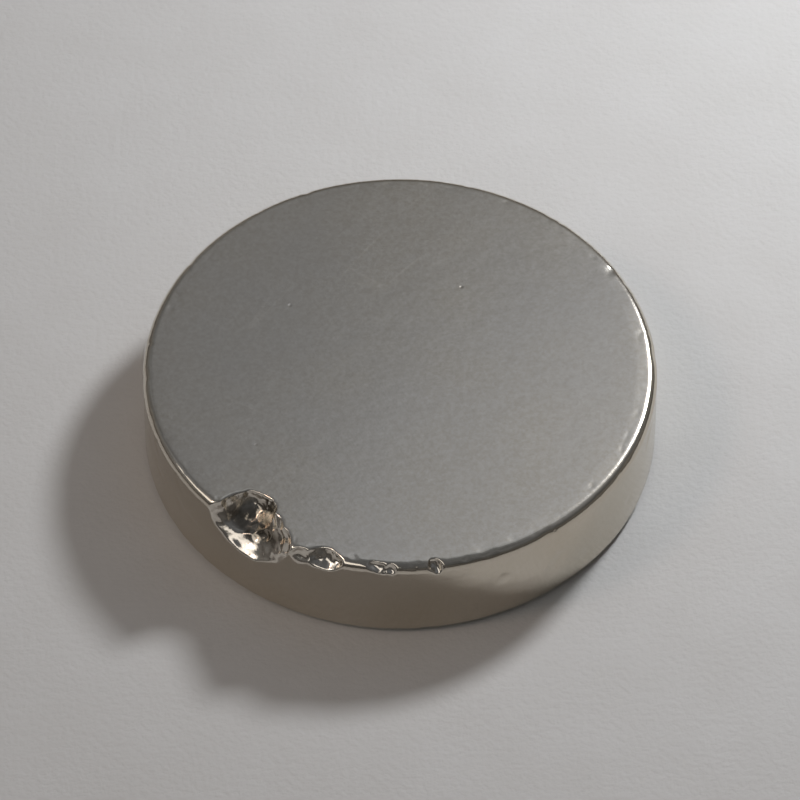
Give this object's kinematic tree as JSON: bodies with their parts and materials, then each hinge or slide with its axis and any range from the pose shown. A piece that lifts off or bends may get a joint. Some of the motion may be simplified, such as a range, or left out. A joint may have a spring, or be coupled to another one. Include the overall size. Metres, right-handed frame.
{
  "type": "disc magnet",
  "caption": "Small nickel-plated disc magnet lying on a pole face, with tumbled round edges and a chipped upper edge.",
  "frame": {"origin": "centre of the lower pole face, on the surface that the disc lies on", "axes": "+Z is the disc's axis and points out of the upper pole face, whose edge is chipped; the chip lies between -X and -Y"},
  "size_m": [0.01, 0.01, 0.002],
  "materials": {
    "nickel_plating": "bright nickel plating over a ground and tumbled sintered body, a little satin on the pole faces"
  },
  "bodies": {
    "root": {"disc_magnet": "nickel_plating"}
  },
  "joints": []
}
